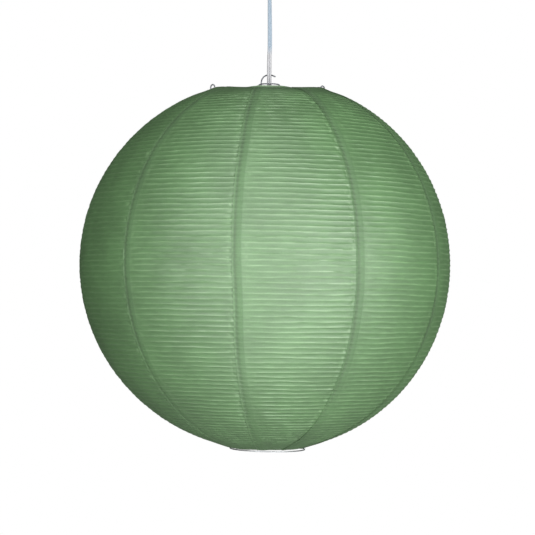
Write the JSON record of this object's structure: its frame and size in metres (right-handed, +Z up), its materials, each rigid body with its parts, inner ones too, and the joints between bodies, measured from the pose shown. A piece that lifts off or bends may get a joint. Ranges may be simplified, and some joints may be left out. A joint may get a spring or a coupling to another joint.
{
  "type": "round paper lantern lamp shade",
  "caption": "Round ribbed paper lantern shade with a wire frame, hanging on a cord from a ceiling cup.",
  "frame": {"origin": "centre of the ceiling plate's top face, where it meets the ceiling", "axes": "+Z up through the ceiling, -Y to the front, +X to the right; the wire frame stands in the XZ plane"},
  "size_m": [0.4992, 0.4992, 0.6669],
  "materials": {
    "paper": "green rice paper, translucent",
    "collar_paper": "green rice paper, doubled",
    "rib_wire": "thin wire, paper-wrapped",
    "ring_wire": "galvanised",
    "frame_wire": "drawn wire, grey",
    "cord_sheath": "soft PVC, satin",
    "white_plastic": "moulded, satin gloss",
    "porcelain": "glazed",
    "brass": "plain",
    "ceiling_metal": "zinc plated"
  },
  "bodies": {
    "ceiling_fitting": {"ceiling_plate": "ceiling_metal", "plate_screw_left": "ceiling_metal", "plate_screw_right": "ceiling_metal", "ceiling_hook": "ceiling_metal", "cord_anchor": "white_plastic", "terminal_block": "white_plastic", "cord": "cord_sheath", "cord_grip": "white_plastic", "lampholder_cap": "white_plastic", "lampholder_skirt": "white_plastic", "contact_base": "porcelain", "screw_shell": "brass", "centre_contact": "brass", "terminal_live": "brass", "terminal_neutral": "brass"},
    "cup": {"ceiling_cup": "white_plastic", "cup_grub_screw": "ceiling_metal"},
    "shade": {"paper_gore_01": "paper", "paper_gore_02": "paper", "paper_gore_03": "paper", "paper_gore_04": "paper", "paper_gore_05": "paper", "paper_gore_06": "paper", "paper_gore_07": "paper", "paper_gore_08": "paper", "paper_gore_09": "paper", "paper_gore_10": "paper", "top_collar": "collar_paper", "bottom_collar": "collar_paper", "rib_spiral": "rib_wire", "top_ring": "ring_wire", "frame_leg_left": "frame_wire", "frame_leg_right": "frame_wire", "frame_crossbar": "frame_wire", "cord_hook": "frame_wire"},
    "lower_ring": {"bottom_ring": "ring_wire"}
  },
  "joints": [
    {"name": "cup_slide", "type": "slide", "parent": "ceiling_fitting", "child": "cup", "axis": [0, 0, -1], "range_m": [0, 0.1]},
    {"name": "shade_turn", "type": "hinge", "parent": "ceiling_fitting", "child": "shade", "pos_m": [0, 0, -0.1733], "axis": [0, 0, 1], "continuous": true},
    {"name": "lantern_fold", "type": "slide", "parent": "shade", "child": "lower_ring", "axis": [0, 0, 1], "range_m": [0, 0.45], "deforming": ["paper_gore_01", "paper_gore_02", "paper_gore_03", "paper_gore_04", "paper_gore_05", "paper_gore_06", "paper_gore_07", "paper_gore_08", "paper_gore_09", "paper_gore_10", "top_collar", "bottom_collar", "rib_spiral"]}
  ]
}
